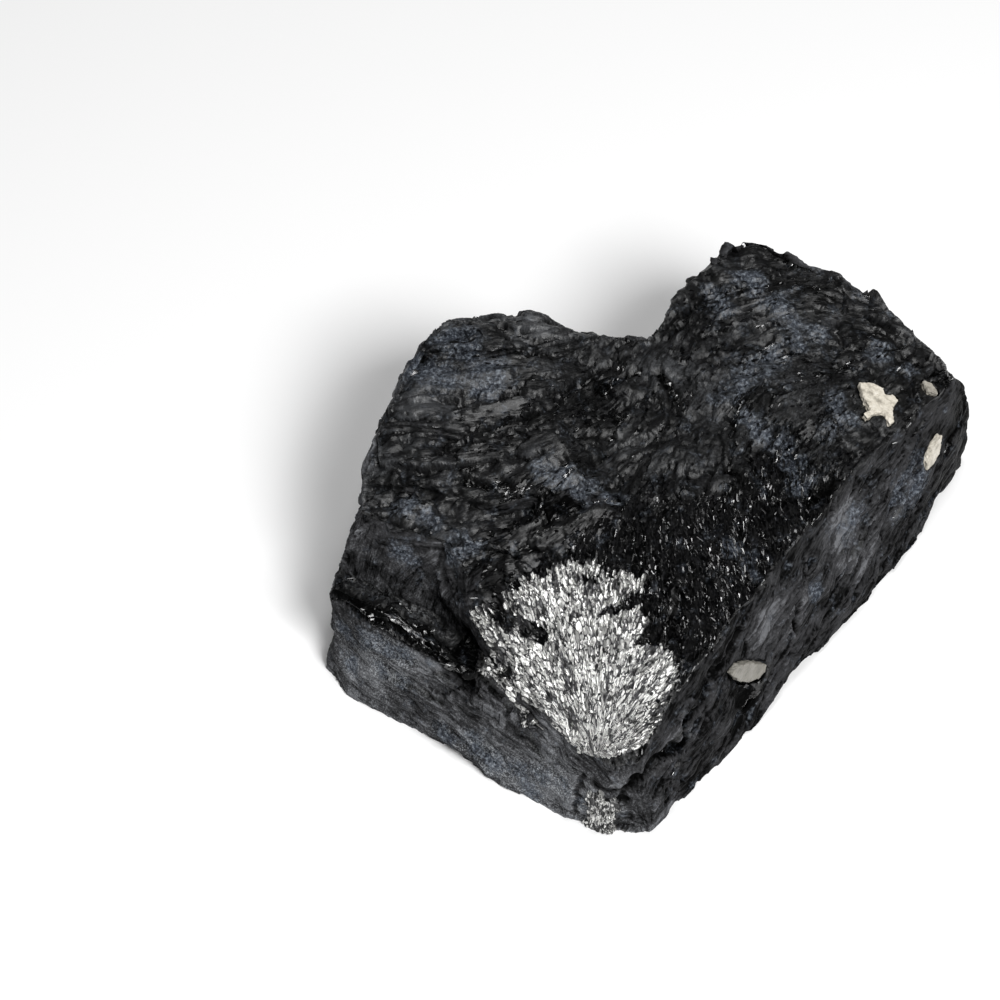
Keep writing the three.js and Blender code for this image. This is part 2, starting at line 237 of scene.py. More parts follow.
def dusty_schorl(name, greys, specular):
    """Black tourmaline under a film of its own dust: satin on the lumps, matt and specked elsewhere."""
    m, shader = new_material(name)
    place, grain, striations, crumbs = black_patterns(m)
    film, tone, relief_shading, specks, gloss = (
        add(m, "Attribute", output="Fac", attribute_name=field)
        for field in ("film", "tone", "relief_shading", "specks", "gloss")
    )
    # streaks 0.7 mm wide and 12 mm long, clouds of 5 mm, grains of 0.35 mm
    long_fibres = add(m, "VectorMath", (grain, (80, 1400, 20)), operation="MULTIPLY")
    streaks = add(m, "TexNoise", {"Vector": long_fibres, "Scale": 1, "Detail": 3, "Roughness": 0.6})
    clouds = add(m, "TexNoise", {"Vector": place, "Scale": 190, "Detail": 3, "Roughness": 0.5})
    grains = add(m, "TexNoise", {"Vector": place, "Scale": 2900, "Detail": 2, "Roughness": 0.5})

    # how light the skin is here: the film of dust, plus painted light and shade (lighter where the skin
    # stands out, darker in its hollows), more or less by each pattern
    level = add(m, "Math", (film, relief_shading), operation="ADD")
    for pattern, low, high, amount in (
        (striations, 0.3, 0.7, 0.16),
        (clouds, 0.3, 0.7, 0.25),
        (tone, 0, 1, 0.2),
        (crumbs, 0.3, 0.7, 0.18),
    ):
        more = add(m, "MapRange", (pattern, low, high, -amount, amount))
        level = add(m, "Math", (level, more), operation="ADD")
    streaked = add(m, "MapRange", (streaks, 0.35, 0.65, -0.2, 0.2))
    dull = add(m, "MapRange", (gloss, 0, 1, 1, 0.2))
    streaked = add(m, "Math", (streaked, dull), operation="MULTIPLY")
    level = add(m, "Math", (level, streaked), operation="ADD")
    grey = add(m, "ValToRGB", (level,), stops=greys)

    # light specks, most where there is dust
    speckled = add(m, "Math", (specks, add(m, "MapRange", (grains, 0.5, 0.6, 0, 1))), operation="MULTIPLY")
    dusty = add(m, "MapRange", (level, 0.2, 0.8, 0.1, 1))
    speckled = add(m, "Math", (speckled, dusty), operation="MULTIPLY")
    grey = add(m, "Mix", {FACTOR: speckled, UNDER: grey, OVER: srgb("#aaaeb1")}, MIXED, data_type="RGBA")

    rough = add(m, "MapRange", (gloss, 0, 1, 0.7, 0.36))
    uneven = add(m, "MapRange", (crumbs, 0.3, 0.7, -0.08, 0.08))
    # splinters 0.45 mm wide and 1.4 mm long
    splinters = add(m, "VectorMath", (grain, (700, 2200, 60)), operation="MULTIPLY")
    lively = add(m, "MapRange", (gloss, 0, 1, 0.4, 0.12))
    ribbed = add(m, "Math", (striations, 0.7), operation="MULTIPLY")
    crumbly = add(m, "Math", (crumbs, add(m, "MapRange", (gloss, 0, 1, 1, 0.35))), operation="MULTIPLY")
    heights = add(m, "Math", (ribbed, crumbly), operation="ADD")
    finish = {
        "Base Color": bloomed(m, grey, place, crumbs),
        "Roughness": add(m, "Math", (rough, uneven), operation="ADD"),
        "IOR": 1.6,
        "Specular IOR Level": specular,
        "Normal": broken(m, splinter_leans(m, splinters, lively, lively), heights, 0.6, 0.0003),
    }
    feed(shader, finish)
    return m


def lustre_and_highlight_schorl():
    """Fresh tourmaline crystal faces, brightly lustrous: silvery scales, their silver-white partly their own
    lustre and partly a painted highlight, brightest on the tops of their folds, with black painted shade in
    the cracks between them.
    """
    m, shader = new_material("lustre_and_painted_highlight")
    place = add(m, "TexCoord", output="Object")
    flow = add(m, "Attribute", output="Vector", attribute_name="flow")
    tone = add(m, "Attribute", output="Fac", attribute_name="tone")
    crumbs = add(m, "TexNoise", {"Vector": place, "Scale": 1500, "Detail": 4, "Roughness": 0.6})
    folds = add(m, "TexNoise", {"Vector": flow, "Scale": 1, "Detail": 4, "Roughness": 0.65})
    # long scales of ragged outline, 2.5 mm along the flow
    ragged = add(m, "TexNoise", {"Vector": place, "Scale": 700, "Detail": 4}, "Color")
    scales = add(m, "VectorMath", (flow, ragged), operation="ADD")
    edge = add(m, "TexVoronoi", {"Vector": scales, "Scale": 1}, "Distance", feature="DISTANCE_TO_EDGE")
    # painted light: brighter on the tops of the folds and black near the scales' edges, a painted shade; the
    # silver is partly the crystals' own lustre
    shade = add(m, "Math", (folds, tone), operation="MULTIPLY")
    shade = add(m, "Math", (shade, add(m, "MapRange", (edge, 0, 0.12, 0.25, 1))), operation="MULTIPLY")
    leans = add(m, "VectorMath", {0: cell_leans(m, scales), "Scale": 0.6}, operation="SCALE")
    crumbly = add(m, "Math", (crumbs, 0.3), operation="MULTIPLY")
    heights = add(m, "Math", (folds, crumbly), operation="ADD")
    silver = [(0.155, "#060607"), (0.25, "#4b4b4e"), (0.35, "#dcdcd9")]
    finish = {
        "Base Color": add(m, "ValToRGB", (shade,), stops=silver),
        "Metallic": add(m, "MapRange", (shade, 0.14, 0.34, 0, 0.75)),
        "Roughness": 0.3,
        "IOR": 1.64,
        "Normal": broken(m, leans, heights, 0.6, 0.0009),
    }
    feed(shader, finish)
    return m


def satin_feldspar():
    """Feldspar: cream white, satin, with faint cleavage and grey stains of 1.5 mm."""
    m, shader = new_material("feldspar")
    place = add(m, "TexCoord", output="Object")
    stains = add(m, "TexNoise", {"Vector": place, "Scale": 700, "Detail": 5, "Roughness": 0.6})
    cream = add(m, "ValToRGB", (stains,), stops=[(0.3, "#8d877b"), (0.5, "#c9c2b4"), (0.7, "#dcd7cc")])
    tone = add(m, "Attribute", output="Fac", attribute_name="tone")
    # the less tone a chip has, the greyer it is made all over
    greyed = add(m, "MapRange", (tone, 0, 1, 0.85, 0))
    steps = add(m, "TexNoise", {"Vector": place, "Scale": 2500, "Detail": 4})
    finish = {
        "Base Color": add(
            m, "Mix", {FACTOR: greyed, UNDER: cream, OVER: srgb("#50504d")}, MIXED, data_type="RGBA"
        ),
        "Roughness": 0.5,
        "IOR": 1.53,
        "Subsurface Weight": 0.1,
        "Subsurface Radius": (0.001, 0.001, 0.001),
        "Normal": add(m, "Bump", {"Height": steps, "Strength": 0.6, "Distance": 0.0003}),
    }
    feed(shader, finish)
    return m


# Painted board: the floor, matt and nearly white.
board, shader = new_material("matt_white_board")
feed(shader, {"Base Color": srgb("#f9f9f9"), "Roughness": 0.9})
floor.data.materials.append(board)

GLASSY, LUSTRE_AND_HIGHLIGHT, FELDSPAR = glassy_schorl(), lustre_and_highlight_schorl(), satin_feldspar()
DUSTY = dusty_schorl(
    "dusty_tourmaline", [(0.1, "#020202"), (0.4, "#09090a"), (0.7, "#161617"), (1.0, "#333436")], 0.3
)
# the walls are weathered: more dust, and almost no gloss left
WEATHERED = dusty_schorl(
    "weathered_tourmaline", [(0.0, "#040404"), (0.22, "#232324"), (0.7, "#3c3c3e"), (1.0, "#606164")], 0.015
)


# ---- meshes and fields -------------------------------------------------------------------------------
SKIN_VOXEL, CHIP_VOXEL = 0.0004, 0.00025  # metres: the size of the faces of the even meshes


def read(what, name, width=3, kind=np.float32):
    """One value, or a row of `width` values, of each of a mesh's vertices, edges, loops or faces."""
    data = np.empty(len(what) * width, kind)
    what.foreach_get(name, data)
    return data.reshape(-1, width) if width > 1 else data


def write(mesh, points):
    """Moves a mesh's vertices to the points."""
    mesh.vertices.foreach_set("co", placed(points).astype(np.float32).ravel())
    mesh.update()


def give(mesh, name, values, kind="FLOAT", domain="POINT"):
    """An attribute for the materials."""
    field = "vector" if kind == "FLOAT_VECTOR" else "value"
    mesh.attributes.new(name, kind, domain).data.foreach_set(field, values.astype(np.float32).ravel())


def remeshed(node, voxel):
    """A copy of a CAD node with its facets turned into an even mesh."""
    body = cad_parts[node].copy()
    body.data = body.data.copy()
    body.parent = None
    bpy.context.collection.objects.link(body)
    bpy.ops.object.select_all(action="DESELECT")
    bpy.context.view_layer.objects.active = body
    body.select_set(True)
    bpy.ops.object.mode_set(mode="EDIT")
    bpy.ops.mesh.select_all(action="SELECT")
    bpy.ops.mesh.remove_doubles(threshold=1e-6)
    bpy.ops.object.mode_set(mode="OBJECT")
    remesh = body.modifiers.new("even", "REMESH")
    remesh.mode = "VOXEL"
    remesh.voxel_size = voxel
    bpy.ops.object.modifier_apply(modifier=remesh.name)
    return body


def tree_of(points):
    """The points, made quick to search."""
    tree = kdtree.KDTree(len(points))
    for i, point in enumerate(points):
        tree.insert(point, i)
    tree.balance()
    return tree


def inside(points, outline):
    """Which points lie inside an outline, seen from above."""
    x, y = points[:, 0], points[:, 1]
    hit = np.zeros(len(points), bool)
    for (x0, y0), (x1, y1) in zip(outline, outline[1:] + outline[:1]):
        crosses = (y0 > y) != (y1 > y)
        hit ^= crosses & (x < (x1 - x0) * (y - y0) / (y1 - y0 + 1e-12) + x0)
    return hit


def clouds(points, size):
    """Smooth noise at the points, from -1 to 1, in clouds of about `size` mm."""
    return np.array([noise.noise(Vector(p) / size) for p in points])


def wavy(points, size, amount):
    """Points moved by smooth noise, which gives outlines drawn through them ragged edges."""
    return points + amount * np.array([noise.noise_vector(Vector(p) / size) for p in points])


def laid(ways, normals):
    """Unit directions: the ways laid flat on the surface."""
    ways = ways - (ways * normals).sum(1, keepdims=True) * normals
    return ways / np.linalg.norm(ways, axis=1, keepdims=True)


def evened(values, edges, times):
    """The values, each replaced this many times by the mean of its own and its neighbours' along edges."""
    for _ in range(times):
        total, much = values.copy(), np.ones(len(values))
        for a, b in (edges.T, edges.T[::-1]):
            np.add.at(total, a, values[b])
            np.add.at(much, a, 1)
        values = total / much
    return values


def cells_for(points, normals, seeds):
    """The crystal cell that each point belongs to, nearest seed first, and how far out in it the point is.

    The distance counts less along the crystal than across it, and a turned surface counts as further."""
    centre, facing, run, length, width = seeds
    across = np.cross(facing, run)
    tree = tree_of(centre)
    near = np.array([[i for _, i, _ in tree.find_n(p, 16)] for p in points])
    delta = points[:, None] - centre[near]
    along = (delta * run[near]).sum(2) / length[near]
    aside = (delta * across[near]).sum(2) / width[near]
    lift = (delta * facing[near]).sum(2) / (0.4 * width[near] + 1)
    turn = 1 - (normals[:, None] * facing[near]).sum(2)
    score = along**2 + aside**2 + lift**2 + 2 * turn
    best = score.argmin(1)
    each = np.arange(len(points))
    return near[each, best], score[each, best]


# ---- the way the crystals run ------------------------------------------------------------------------
# Place, direction, length and width of a crystal in mm, how much grey film lies on it and how specked it is.
GUIDES = np.array(
    [
        (30, 75, 44, 0.65, -0.75, 0, 12, 4, 0.5, 0.06),  # left top
        (9, 66, 35, 0.7, -0.7, 0, 11, 3.6, 0.55, 0.1),
        (9, 56, 35, 0.8, -0.6, 0, 9, 3, 0.4, 0.1),
        (50, 80, 46, 0.6, -0.8, 0, 12, 4, 0.66, 0.12),
        (14, 62, 40, 0.7, -0.7, 0, 12, 4, 0.62, 0.06),
        (40, 62, 44, 0.7, -0.65, 0, 10, 3.4, 0.5, 0.1),
        (30, 45, 40, 0.9, -0.3, 0, 5, 1.6, 0.34, 0.06),  # trough
        (8, 50, 36, 0.9, -0.3, 0, 5, 1.6, 0.34, 0.06),
        (50, 48, 44, 0.95, -0.2, 0, 5, 1.4, 0.42, 0.15),  # middle of the top
        (55, 28, 43, 0.9, 0.1, 0, 5, 1.3, 0.38, 0.15),
        (75, 45, 45, 0.95, 0.25, 0, 5, 1.4, 0.4, 0.18),
        (95, 30, 43, 0.9, -0.5, 0, 5, 1.6, 0.33, 0.2),  # right top
        (108, 50, 43, 0.8, -0.6, 0, 12, 4, 0.42, 0.06),
        (112, 25, 42, 0.5, -0.85, 0, 12, 4, 0.42, 0.06),
        (80, 12, 41, 0.9, -0.2, 0, 4, 1.3, 0.36, 0.25),
        (105, 8, 38, 0.9, -0.2, 0, 4, 1.4, 0.35, 0.15),
        (24, 26, 38, 0.8, 0.6, 0.4, 3, 0.8, 0.1, 0),  # lustrous slope
        (6, 36, 32, 0.3, 0.95, 0.4, 3, 0.8, 0.1, 0),
        (18, 6, 30, 1, 0.1, 0.3, 3, 0.8, 0.1, 0),
        (38, 12, 38, 0.6, 0.7, 0.5, 3, 0.9, 0.05, 0.1),  # slope over the long wall
        (52, 10, 39, 0.6, 0.7, 0.5, 3, 0.9, 0.08, 0.1),
        (28, 10, 35, 0.6, 0.7, 0.5, 3, 0.9, 0.05, 0.1),
        (66, 8, 40, 0.7, 0.5, 0.3, 3, 1.0, 0.15, 0.2),
        (20, -4, 12, 1, 0, 0.35, 11, 1.8, 0.36, 0.1),  # long wall: along it, rising to the right
        (45, -2, 18, 1, 0, 0.5, 12, 1.8, 0.55, 0.12),
        (40, -4, 4, 1, 0, 0.45, 12, 1.8, 0.12, 0.05),
        (75, -3, 24, 1, 0, 0.45, 12, 1.8, 0.67, 0.14),
        (66, -4, 6, 1, 0, 0.45, 12, 1.8, 0.15, 0.05),
        (90, -3, 10, 1, 0, 0.45, 12, 1.8, 0.16, 0.06),
        (115, -3, 20, 1, 0, 0.45, 8, 2.4, 0.04, 0.02),
        (-6, 60, 16, 0, 1, 0.05, 8, 1.5, 0.8, 1),  # short wall
        (-6, 48, 12, 0, 1, 0.05, 9, 2.0, 0.62, 0.4),
        (-6, 34, 4, 0, 1, 0.1, 8, 1.5, 0.8, 1),
        (-5, 30, 14, 0, 1, 0.2, 9, 2.0, 0.6, 0.4),
        (-5, 18, 6, 0, 1, 0.2, 8, 1.5, 0.85, 1),
        (4, 68, 27, 0.2, 0, 1, 4, 0.9, 0.5, 0.5),  # riser over the ledge
        (5, 57, 27, 0.2, 0, 1, 4, 0.9, 0.5, 0.5),
        (4, 84, 20, -0.6, 0.8, 0.5, 8, 2.2, 0.5, 0.3),  # walls out of sight: round the block, rising
        (25, 92, 22, -1, 0.1, 0.5, 8, 2.2, 0.45, 0.3),
        (52, 93, 20, -1, 0, 0.5, 8, 2.2, 0.5, 0.3),
        (74, 76, 22, -0.1, 1, 0.5, 8, 2.0, 0.42, 0.3),
        (98, 59, 22, -1, 0, 0.5, 8, 2.0, 0.45, 0.3),
        (121, 46, 14, -0.2, 1, 0.5, 8, 2.2, 0.5, 0.3),
        (122, 22, 20, 0, 1, 0.5, 8, 2.2, 0.42, 0.3),
    ]
)


def growth(points, normals):
    """Unit direction along the surface, length, width, film and specks of the crystals at points."""
    apart = ((points[:, None] - GUIDES[None, :, :3]) ** 2).sum(2)
    weight = 1 / (apart + 20) ** 2
    ways = GUIDES[:, 3:6] / np.linalg.norm(GUIDES[:, 3:6], axis=1, keepdims=True)
    # each guide is taken the way round that agrees with the nearest one
    nearest = ways[apart.argmin(1)]
    sign = np.where(nearest @ ways.T < 0, -1, 1)
    run = (weight * sign) @ ways
    run -= (run * normals).sum(1, keepdims=True) * normals
    run /= np.linalg.norm(run, axis=1, keepdims=True) + 1e-9
    size = (weight @ GUIDES[:, 6:]) / weight.sum(1, keepdims=True)
    return run, *size.T


# Cracks and hollows: their points, their half width, depth and darkness (a painted shade in them), and how
# much each axis counts.
LONG_WALL, SHORT_WALL, TOP = (1, 0.1, 1), (0.3, 1, 1), (1, 1, 0.2)
GROOVES = [
    ([(35, 1, 29), (31, 1, 25), (25.5, 1, 25), (23.5, 0, 20.5), (16, -0.5, 20), (14, -1, 16),
      (6.5, 0, 18.5), (0, 0, 17)], 1, 1.8, 1, LONG_WALL),
    ([(50.5, -2.5, 9), (43.5, -3.5, 10), (41, -3, 5)], 0.9, 1.3, 0.9, LONG_WALL),
    ([(15, -1, 17), (11, -1.5, 11), (8, -2, 5)], 0.8, 1.2, 0.8, LONG_WALL),
    ([(60, -1, 28), (55, -1, 22), (52, -1, 15)], 0.7, 1.0, 0.8, LONG_WALL),
    ([(34, -2, 12), (35, -3.5, 2)], 3.5, 0.4, 0.8, LONG_WALL),
    ([(0.5, 1.5, 17.5), (-1, 3, 13), (0, 2.5, 7), (1, 2.5, 0.5)], 1.1, 1.4, 0.9, (1, 1, 1)),
    ([(-4, 11, 15), (-5.5, 11.5, 9), (-4.5, 12, 2)], 0.7, 0.6, 0.6, (1, 1, 1)),
    ([(-5, 9, 15), (-3.5, 5.5, 14.5), (1, 1.5, 13.5)], 1.0, 0.8, 0.7, (1, 1, 1)),
    ([(63, 55, 41.5), (67, 53.5, 41.5), (70.5, 52.5, 42.5)], 1, 1.1, 0.9, TOP),
    ([(71.5, 47, 43.5), (70, 43.5, 43.5), (68.5, 41, 43)], 0.9, 0.8, 0.9, TOP),
    ([(59, 20.5, 43.5), (58.5, 16, 42.5)], 1.2, 1.2, 1, TOP),
    ([(61, 15, 42), (61, 12.5, 41.5), (60, 9.5, 41.5)], 1.4, 1.2, 1, TOP),
    ([(65, 5, 40), (68.5, 4, 39.5), (73.5, 4, 39.5)], 1.3, 1.2, 1, TOP),
    ([(26.5, 62.5, 41.5), (28, 59, 41.5), (30, 55.5, 42)], 1, 0.9, 0.9, TOP),
    ([(-3.5, 76, 26.5), (-4, 67, 26), (-2, 58.5, 25), (-1, 49, 23.5), (-1.5, 42, 21)],
     2.2, 1.4, 1, SHORT_WALL),
    # The last three cut nothing and only darken, with painted shade: the trough's hollow, and the right end
    # of the top and of the long wall, where the block turns down.
    ([(12, 47, 37), (22, 45, 39), (31, 43, 41)], 4, 0, 0.45, TOP),  # the dark trough
    ([(98, 3, 38.5), (106, 5, 38), (113, 6, 37)], 4.5, 0, 0.5, TOP),  # the dark right end
    ([(98, -1, 33), (112, -1, 33)], 3, 0, 0.45, LONG_WALL),
]


def groove_depth(points):
    """How deep each point lies in the grooves (mm), and how dark its painted shade is there (0 to 1)."""
    depth, painted_shade = np.zeros(len(points)), np.zeros(len(points))
    crooked = wavy(points, 2.5, 0.8)
    for path, radius, deep, shade_strength, axes in GROOVES:
        path = np.array(path, float)
        for a, b in zip(path[:-1], path[1:]):
            t = np.clip(((crooked - a) @ (b - a)) / ((b - a) @ (b - a)), 0, 1)
            away = np.linalg.norm((crooked - a - t[:, None] * (b - a)) * axes, axis=1) / radius
            share = np.clip(1.6 - away, 0, 1) * (np.linalg.norm(points - a, axis=1) < 30)
            depth = np.maximum(depth, share * deep)
            painted_shade = np.maximum(painted_shade, share * shade_strength)
    return depth, painted_shade


# Blue-grey bloom: the middle of each spot and its radius.
BLOOM = [
    (51, 85, 45.5, 5), (49, 75, 45, 5), (51, 81, 46, 4), (43, 82.5, 43.5, 5),
    (42, 87, 43.5, 4), (46, 73, 43.5, 3), (14, 70, 39, 2.5), (14, 68, 39.5, 2.5),
    (14.5, 64.5, 39.5, 2), (14.5, 61, 40, 2), (14, 55.5, 40.5, 2.5), (14, 51.5, 41, 2.5),
    (8.5, 66, 33, 2.5), (8.5, 63.5, 32, 2), (10.5, 54, 40.5, 3), (36, 50.5, 43.5, 3),
    (36, 46.5, 43.5, 4), (37.5, 40, 44, 4), (40, 36.5, 41.5, 3), (90.5, 31.5, 43.5, 4),
    (86.5, 31.5, 43.5, 3.5), (83, 32.5, 43.5, 4), (76.5, 31.5, 43.5, 3.5), (74, 32.5, 43.5, 2.5),
    (72, 26.5, 44, 2.5), (71.5, 23.5, 43, 2), (71, 21, 43, 2.5), (70.5, 17.5, 43.5, 2.5),
    (71.5, 15.5, 42, 3), (70, 12, 41.5, 3), (67, 8.5, 41, 3), (67, 5.5, 40, 3),
    (105, 39, 43, 4), (102.5, 34.5, 43, 3.5), (98, 29, 43, 3.5), (102.5, 28.5, 42.5, 3),
    (45.5, 10, 39, 2.5), (45.5, 7.5, 37, 2.5), (44.5, 4.5, 36, 1.5), (89, 14.5, 42, 3),
    (86.5, 10.5, 40.5, 3), (81, 10.5, 42, 2.5), (97, 49, 43.5, 4), (105.5, 48, 43, 4),
    (108.5, 15.5, 39.5, 3), (107.5, 8.5, 38.5, 3),
    (-4.5, 71.5, 15, 3), (-5, 65.5, 17.5, 3), (-5, 60.5, 19, 2.5), (-4.5, 55.5, 20, 2.5),
    (-4, 49, 22, 2), (-3, 45, 23, 2), (-5, 61.5, 11.5, 2.5), (-5.5, 56, 12, 2),
    (-6, 69, 7.5, 2.5), (-7, 43.5, 5, 3), (-7, 37, 7, 3), (-7, 31.5, 5, 3), (-6, 26, 6.5, 3),
    (-5.5, 20.5, 8.5, 3), (-5, 15.5, 9.5, 2.5), (-6.5, 22, 2, 2.5), (-4, 10, 6, 2), (95, -4, 20, 7),
    (75, -2, 26, 5), (60, -1, 20, 3),
]


def bloom_at(points):
    """0 to 1: how deep each point lies in the bloom spots."""
    depth = np.zeros(len(points))
    for x, y, z, radius in BLOOM:
        away = np.linalg.norm(points - (x, y, z), axis=1) / radius
        depth = np.maximum(depth, np.clip(1.5 - away, 0, 1))
    return depth


# Outlines seen from above: the sheaf's fan of lustrous crystals, and a bare black gap in it.
FAN = [
    (4.5, 46.5), (6, 46.5), (6.5, 43), (6, 39.5), (5.5, 37), (8.5, 36.5), (10, 40), (12, 39),
    (14, 38.5), (17.5, 36.5), (17, 34), (19.5, 36), (22, 34.5), (20.5, 32.5), (22, 32.5), (23, 31.5),
    (21, 29.5), (23, 27), (25, 27.5), (26, 24.5), (28, 22.5), (27.5, 21.5), (24, 21), (20, 23.5),
    (18, 24), (21.5, 20), (24.5, 19), (23.5, 15), (18, 15), (19.5, 12.5), (20.5, 8.5), (19, 5),
    (16, 3.5), (12.5, 3), (8.5, 1.5), (4, 2), (1, 4.5), (-1.5, 7), (-2.5, 9.5), (-3, 12.5), (-3, 16),
    (-2.5, 20), (-2.5, 25.5), (-2, 30), (-1, 35), (-1, 39.5), (3.5, 44),
]
GAP = [(8, 36), (10, 34), (10, 31), (9, 29.5), (7, 29.5), (7, 32.5), (6.5, 34)]
# The left lobe of the top, a little higher than the trough beside it.
LOBE = [
    (56, 78), (52, 71), (51, 65), (47.5, 58), (47, 52), (44.5, 50), (39, 51), (36, 51.5), (30.5, 52.5),
    (24.5, 55.5), (22.5, 59), (20, 62.5), (14, 66), (0, 72), (0, 100), (60, 100),
]
# The place that the sheaf's crystals spread from, and the knobs along its edges.
FOCUS = np.array([-3.5, 8.5, 20.0])
KNOBS = [
    (19, 34.5, 38), (21.5, 32.5, 38), (23.5, 29.5, 39), (24.5, 26, 37.5), (26, 23.5, 37),
    (28, 21.5, 37), (-3.5, 6.5, 11), (-3, 6.5, 5),
    (14.5, 38, 36.5), (10.5, 39.5, 35), (6, 43.5, 32),
]

# ---- the tourmaline mass: its broad forms ------------------------------------------------------------
body = remeshed("tourmaline_mass", SKIN_VOXEL)
mesh = body.data
skin = measured(read(mesh.vertices, "co"))
x, y, z = skin.T  # these follow the skin as it changes
# the left side of the sheaf runs down to the short wall in one slope
slope = 20 + 0.214 * y + np.where(x > 0.5, 0.1, 1.6) * (x - 0.5)
near = (x > -4.6) & (x < 4) & (z > 15)
z += near * np.clip(slope - z, 0, 4) * np.clip((42 - y) / 4, 0, 1) * np.clip((y - 8) / 4, 0, 1)
# the right lobe's far edge runs level and straight
z -= np.clip(z - 42.5, 0, 3) * np.clip((x - 112) / 2, 0, 1) * np.clip((y - 34) / 4, 0, 1)
y -= np.clip(y - 56.2, 0, 4) * np.clip((x - 97) / 4, 0, 1) * np.clip((z - 15) / 10, 0, 1)
# a pit beside the sheaf is filled
pit = (np.linalg.norm(skin[:, :2] - (31.5, 42.5), axis=1) < 3.8) & (z > 36)
z += pit * np.clip(42.8 - z, 0, 5)
# a small column of crystals stands on the front corner, under the sheaf's focus
ragged = wavy(skin, 2.6, 2)
column_away = np.linalg.norm((ragged - (-2.6, 7.2, 8)) * (1, 1, 0), axis=1)
column = (x < 2) & (ragged[:, 2] < 13) & (column_away < 3.7)
skin[:, :2] += (column * np.clip(1.3 - 0.09 * column_away**2, 0, 1.2))[:, None] * (-0.7, -0.7)
write(mesh, skin)

# ---- fields over the mass ----------------------------------------------------------------------------
sharp = read(mesh.vertices, "normal")
edges = read(mesh.edges, "vertices", 2, np.int32)
facing = sharp  # the way the surface faces, first as it is and then without its small forms
for _ in range(12):
    soft = facing.copy()
    np.add.at(soft, edges[:, 0], facing[edges[:, 1]])
    np.add.at(soft, edges[:, 1], facing[edges[:, 0]])
    facing = soft / (np.linalg.norm(soft, axis=1, keepdims=True) + 1e-9)
run, length, width, film, specks = growth(skin, facing)
upward = np.clip(facing[:, 2] * 1.5 - 0.2, 0, 1)

chips = sorted(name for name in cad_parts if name.startswith("feldspar"))
chip_points = [measured(read(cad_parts[name].data.vertices, "co")) for name in chips]
chip_tree = tree_of(np.concatenate(chip_points))
chip_away = np.array([chip_tree.find(p)[2] for p in skin])

level = (facing * sharp).sum(1)  # 1 on faces, less near edges and corners
flat = evened(np.clip((level - 0.86) / 0.1, 0.15, 1), edges, 3)
corner = evened(np.clip((0.8 - level) / 0.12, 0, 1), edges, 3)
lit = inside(skin, FAN) & ~inside(skin, GAP) & (facing[:, 2] > 0.35) & (skin[:, 2] > 15) | column
cloud = clouds(skin, 13)
depth, painted_shade = groove_depth(skin)

# ---- the broken skin ---------------------------------------------------------------------------------
TOWARDS = np.array([-0.8, -0.6, 0.0])  # the free edges of the flakes on the top face this way
# The skin is broken at three scales. At each it is divided into long cells, each a low dome that stands a
# little high or low, leans its own way, and rises to a free edge: count, size, dome, step, lean, rise, tone.
LUMPS = (420, 3.4, 0.5, 0.3, 0.04, 0.06, 0.18)
CRYSTALS = (3600, 1.15, 0.4, 0.2, 0.08, 0.15, 0.16)
FLAKES = (13000, 0.5, 0.12, 0.07, 0.1, 0.1, 0.14)
DEEPEST, HIGHEST = -1.8, 1  # mm: how far the breaks may move the skin, before the wear and the grooves
BASE_RIM = 0.8  # mm: below this height the skin moves only sideways, so the base stays flat

relief = np.clip(length / 11, 0.4, 1)  # small crystals lie flatter
move = 2.2 * np.abs(clouds(skin, 10)) - 0.6 + flat * (0.9 * np.abs(clouds(skin, 4.5)) - 0.25)
tone = np.full(len(skin), 0.5)
for scale in (LUMPS, CRYSTALS, FLAKES):
    count, size, dome, step, leaning, rise, shade = scale
    chance = 1 / (length * width)
    picked = rng.choice(len(skin), count, replace=False, p=chance / chance.sum())
    bulk = size * np.exp(rng.normal(0, 0.3, count))
    seeds = (skin[picked], facing[picked], run[picked], length[picked] * bulk, width[picked] * bulk)
    cell, score = cells_for(wavy(skin, 3 * size, 0.9 * size), facing, seeds)
    gradient = rng.normal(0, leaning, (count, 3)) + rise * TOWARDS * upward[picked][:, None]
    delta = skin - seeds[0][cell]
    change = rng.normal(0, step, count)[cell] + (delta * gradient[cell]).sum(1)
    change += dome * rng.uniform(0.2, 1.6, count)[cell] * (0.6 - np.clip(score / score.mean(), 0, 2.5))
    move += change * (0.5 + 0.5 * flat) if scale is LUMPS else change * flat * relief
    tone += rng.normal(0, shade, count)[cell] * relief
    film = film * rng.uniform(0.8, 1.2, count)[cell]
    if scale is CRYSTALS:
        grain_cell, grain_seeds, streak = cell, seeds, rng.random(count)
# the lobe stands about 0.2 mm higher: a yes or no counts about a fifth once it is evened
move += 1.1 * evened(inside(skin, LOBE) & (skin[:, 2] > 36), edges, 2)
move = np.clip(move * (0.55 + 0.45 * upward), DEEPEST, HIGHEST)
# the sheaf's own coordinates, for its folds: 2.5 mm along its flow and about 0.6 mm across
flow_r = np.linalg.norm(skin - FOCUS, axis=1)
turn = np.arctan2(skin[:, 1] - FOCUS[1], skin[:, 0] - FOCUS[0])
flow = np.stack([flow_r / 2.5, turn * 28, skin[:, 2] / 5], 1)
folds = np.zeros(len(skin))
folds[lit] = [noise.fractal(Vector(p), 0.7, 2, 3) for p in flow[lit]]
move = np.where(lit, 0.35 * move + 0.45 * folds, move)
worn = (0.5 * (1 - flat) + corner) * np.clip(skin[:, 2] / 4, 0, 1)  # edges, but not the base's
move = (move - worn - depth) * np.clip(chip_away / 2.5, 0.1, 1)
move = 0.6 * move + 0.4 * evened(move, edges, 1)
shift = facing * move[:, None]
shift[skin[:, 2] < BASE_RIM, 2] = 0
skin = np.clip(skin + shift, LOW, HIGH)
write(mesh, skin)

